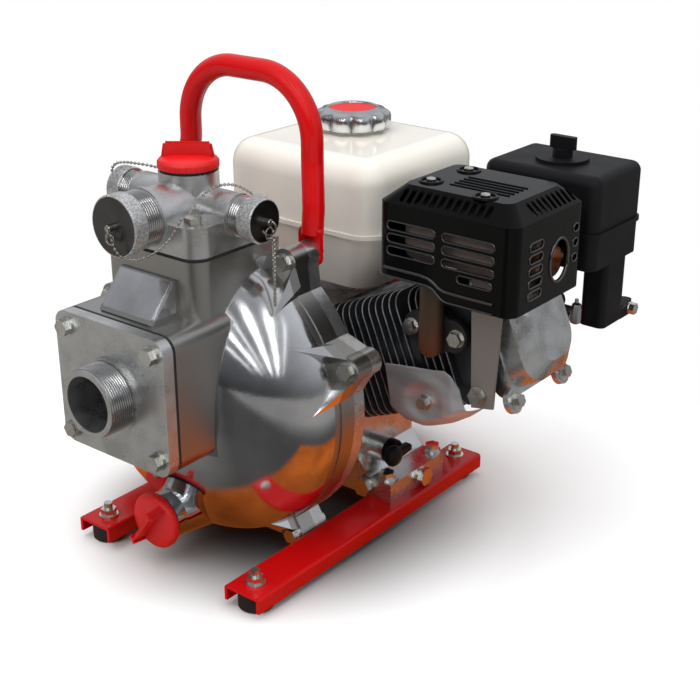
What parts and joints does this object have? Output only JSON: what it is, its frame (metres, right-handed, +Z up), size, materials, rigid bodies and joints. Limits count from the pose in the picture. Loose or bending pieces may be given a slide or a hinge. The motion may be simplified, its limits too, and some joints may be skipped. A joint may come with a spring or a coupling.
{
  "type": "portable fire pump",
  "caption": "Self-priming centrifugal pump bolted to a small inclined petrol engine on two skids, with a carrying handle, capped outlets on ball chains and a threaded suction port.",
  "frame": {"origin": "on the floor, at the middle of the footprint's box", "axes": "+Z up, the suction port points along -Y, the engine's cylinder leans to +X"},
  "size_m": [0.4431, 0.45, 0.443],
  "materials": {
    "red_paint": "gloss",
    "polished_aluminium": "polished",
    "cast_aluminium": "satin cast",
    "zinc": "zinc plated",
    "rubber": "matt",
    "red_plastic": "gloss",
    "chain_metal": "nickel",
    "machined": "machined",
    "black_cast": "semi gloss",
    "black_paint": "gloss",
    "sheet_steel": "satin",
    "exhaust": "heat tinted",
    "cream_paint": "gloss",
    "tank_chrome": "bright",
    "black_plastic": "fine grain",
    "foam": "open cell",
    "cap_metal": "knurled"
  },
  "bodies": {
    "frame": {"skid_left": "red_paint", "skid_right": "red_paint", "rubber_feet": "rubber", "skid_bolts": "zinc", "pump_casing": "polished_aluminium", "casing_backplate": "cast_aluminium", "pump_bolts": "zinc", "suction_cover": "cast_aluminium", "suction_gasket": "rubber", "discharge_manifold": "cast_aluminium", "discharge_gasket": "rubber", "mechanical_seal": "machined", "volute": "cast_aluminium", "carry_handle": "red_paint", "crankcase": "cast_aluminium", "crankcase_cover": "cast_aluminium", "cylinder": "black_cast", "cylinder_head": "black_cast", "head_cover": "cast_aluminium", "engine_bolts": "zinc", "spark_plug": "zinc", "muffler": "exhaust", "muffler_guard": "black_paint", "cylinder_shroud": "sheet_steel", "fuel_tank": "cream_paint", "air_cleaner_base": "black_plastic", "air_cleaner_cover": "black_plastic", "air_cleaner_element": "foam", "carburetor": "cast_aluminium", "fan_cover": "red_paint", "recoil_cover": "black_plastic"},
    "filler_thread": {"filler_cap_seal": "rubber"},
    "filler_plug": {"filler_cap": "red_plastic"},
    "drain_thread": {"drain_cap_seal": "rubber"},
    "drain_plug": {"drain_cap": "red_plastic"},
    "front_thread": {"front_cap_washer": "rubber", "chain_front": "chain_metal"},
    "front_cap": {"front_outlet_cap": "cap_metal"},
    "right_thread": {"right_cap_washer": "rubber", "chain_right": "chain_metal"},
    "right_cap": {"right_outlet_cap": "cap_metal"},
    "left_thread": {"left_cap_washer": "rubber", "chain_left": "chain_metal"},
    "left_cap": {"left_outlet_cap": "cap_metal"},
    "dipstick_thread": {"dipstick_seal": "rubber"},
    "dipstick": {"oil_dipstick": "black_plastic"},
    "flap": {"suction_flap": "rubber"},
    "crank": {"crankshaft": "machined", "impeller": "cast_aluminium", "flywheel": "black_cast"},
    "piston": {"piston": "cast_aluminium"},
    "tank_cap": {"fuel_cap": "tank_chrome"},
    "filter_knob": {"air_cleaner_knob": "black_plastic"},
    "throttle": {"throttle_lever": "machined"},
    "choke": {"choke_lever": "machined"},
    "fuel_tap": {"fuel_valve_lever": "machined"},
    "reel": {"recoil_reel": "black_plastic"},
    "grip": {"starter_grip": "black_plastic"},
    "plug_cap": {"spark_plug_cap": "rubber"},
    "switch": {"engine_switch": "black_plastic"}
  },
  "joints": [
    {"name": "filler_slide", "type": "slide", "parent": "frame", "child": "filler_thread", "axis": [0, 0, 1], "range_m": [0, 0.01395]},
    {"name": "filler_turn", "type": "hinge", "parent": "filler_thread", "child": "filler_plug", "pos_m": [-0.0613, -0.095, 0.359], "axis": [0, 0, 1], "range_deg": [0, 2160]},
    {"name": "drain_slide", "type": "slide", "parent": "frame", "child": "drain_thread", "axis": [0, -1, 0], "range_m": [0, 0.01395]},
    {"name": "drain_turn", "type": "hinge", "parent": "drain_thread", "child": "drain_plug", "pos_m": [-0.0613, -0.152, 0.044], "axis": [0, -1, 0], "range_deg": [0, 2160]},
    {"name": "front_cap_slide", "type": "slide", "parent": "frame", "child": "front_thread", "axis": [0, -1, 0], "range_m": [0, 0.01165]},
    {"name": "front_cap_turn", "type": "hinge", "parent": "front_thread", "child": "front_cap", "pos_m": [-0.0613, -0.1765, 0.3287], "axis": [0, -1, 0], "range_deg": [0, 1800]},
    {"name": "right_cap_slide", "type": "slide", "parent": "frame", "child": "right_thread", "axis": [1, 0, 0], "range_m": [0, 0.01165]},
    {"name": "right_cap_turn", "type": "hinge", "parent": "right_thread", "child": "right_cap", "pos_m": [0.0186, -0.095, 0.3287], "axis": [1, 0, 0], "range_deg": [0, 1800]},
    {"name": "left_cap_slide", "type": "slide", "parent": "frame", "child": "left_thread", "axis": [-1, 0, 0], "range_m": [0, 0.01165]},
    {"name": "left_cap_turn", "type": "hinge", "parent": "left_thread", "child": "left_cap", "pos_m": [-0.1412, -0.095, 0.3287], "axis": [-1, 0, 0], "range_deg": [0, 1800]},
    {"name": "dipstick_slide", "type": "slide", "parent": "frame", "child": "dipstick_thread", "axis": [1, 0, 0], "range_m": [0, 0.0151]},
    {"name": "dipstick_turn", "type": "hinge", "parent": "dipstick_thread", "child": "dipstick", "pos_m": [0.0437, 0.055, 0.064], "axis": [1, 0, 0], "range_deg": [0, 2160]},
    {"name": "flap_swing", "type": "hinge", "parent": "frame", "child": "flap", "pos_m": [-0.0613, -0.1844, 0.226], "axis": [1, 0, 0], "range_deg": [0, 22]},
    {"name": "crank_spin", "type": "hinge", "parent": "frame", "child": "crank", "pos_m": [-0.0613, 0, 0.128], "axis": [0, 1, 0], "continuous": true},
    {"name": "piston_slide", "type": "slide", "parent": "frame", "child": "piston", "axis": [0.9239, 0, 0.3827], "range_m": [-0.0225, 0.0225]},
    {"name": "tank_cap_turn", "type": "hinge", "parent": "frame", "child": "tank_cap", "pos_m": [-0.0653, 0.135, 0.353], "axis": [0, 0, 1], "range_deg": [0, 90]},
    {"name": "filter_knob_turn", "type": "hinge", "parent": "frame", "child": "filter_knob", "pos_m": [0.1587, 0.154, 0.356], "axis": [0, 0, 1], "range_deg": [0, 360]},
    {"name": "throttle_swing", "type": "hinge", "parent": "frame", "child": "throttle", "pos_m": [0.1147, 0.128, 0.245], "axis": [0, 0, 1], "range_deg": [0, 32]},
    {"name": "choke_swing", "type": "hinge", "parent": "frame", "child": "choke", "pos_m": [0.1487, 0.12, 0.235], "axis": [1, 0, 0], "range_deg": [-40, 0]},
    {"name": "fuel_tap_swing", "type": "hinge", "parent": "frame", "child": "fuel_tap", "pos_m": [0.1487, 0.138, 0.208], "axis": [1, 0, 0], "range_deg": [-80, 0]},
    {"name": "grip_pull", "type": "slide", "parent": "frame", "child": "grip", "axis": [-1, 0, 0], "range_m": [0, 0.08], "stiffness_N_per_m": 60},
    {"name": "reel_turn", "type": "hinge", "parent": "frame", "child": "reel", "pos_m": [-0.0613, 0.202, 0.128], "axis": [0, -1, 0], "range_deg": [0, 92]},
    {"name": "plug_cap_pull", "type": "slide", "parent": "frame", "child": "plug_cap", "axis": [0, 1, 0], "range_m": [0, 0.024]},
    {"name": "switch_turn", "type": "hinge", "parent": "frame", "child": "switch", "pos_m": [0.0637, 0.16, 0.18], "axis": [0, 1, 0], "range_deg": [0, 55]}
  ],
  "couplings": [
    {"joint": "filler_slide", "follows": "filler_turn", "m_per_rad": 0.00036749},
    {"joint": "drain_slide", "follows": "drain_turn", "m_per_rad": 0.00036749},
    {"joint": "front_cap_slide", "follows": "front_cap_turn", "m_per_rad": 0.00036749},
    {"joint": "right_cap_slide", "follows": "right_cap_turn", "m_per_rad": 0.00036749},
    {"joint": "left_cap_slide", "follows": "left_cap_turn", "m_per_rad": 0.00036749},
    {"joint": "dipstick_slide", "follows": "dipstick_turn", "m_per_rad": 0.00039789},
    {"joint": "reel_turn", "follows": "grip_pull", "rad_per_m": 20}
  ]
}
